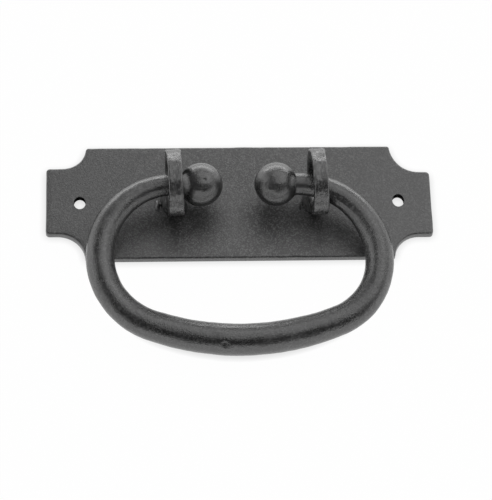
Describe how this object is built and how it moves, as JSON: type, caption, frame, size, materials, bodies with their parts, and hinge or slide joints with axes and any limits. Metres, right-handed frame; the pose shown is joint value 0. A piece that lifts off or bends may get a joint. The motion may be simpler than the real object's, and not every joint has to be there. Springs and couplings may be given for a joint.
{
  "type": "ring pull handle",
  "caption": "Forged iron drawer handle: a flat plate with cove-cut corners and screw tabs, standing eyes, and a thick ball-ended bail that swings in them.",
  "frame": {"origin": "centre of the plate's flat back face", "axes": "+X along the plate, +Y towards its upper edge, +Z out of the door or drawer front"},
  "size_m": [0.15, 0.0902, 0.0321],
  "materials": {
    "plate_coat": "satin",
    "eye_coat": "satin",
    "bail_coat": "satin"
  },
  "bodies": {
    "plate": {"back_plate": "plate_coat", "left_eye": "eye_coat", "right_eye": "eye_coat"},
    "bail": {"bail": "bail_coat"}
  },
  "joints": [
    {"name": "bail_swing", "type": "hinge", "parent": "plate", "child": "bail", "pos_m": [0, 0, 0.0175], "axis": [-1, 0, 0], "range_deg": [0, 201]}
  ]
}
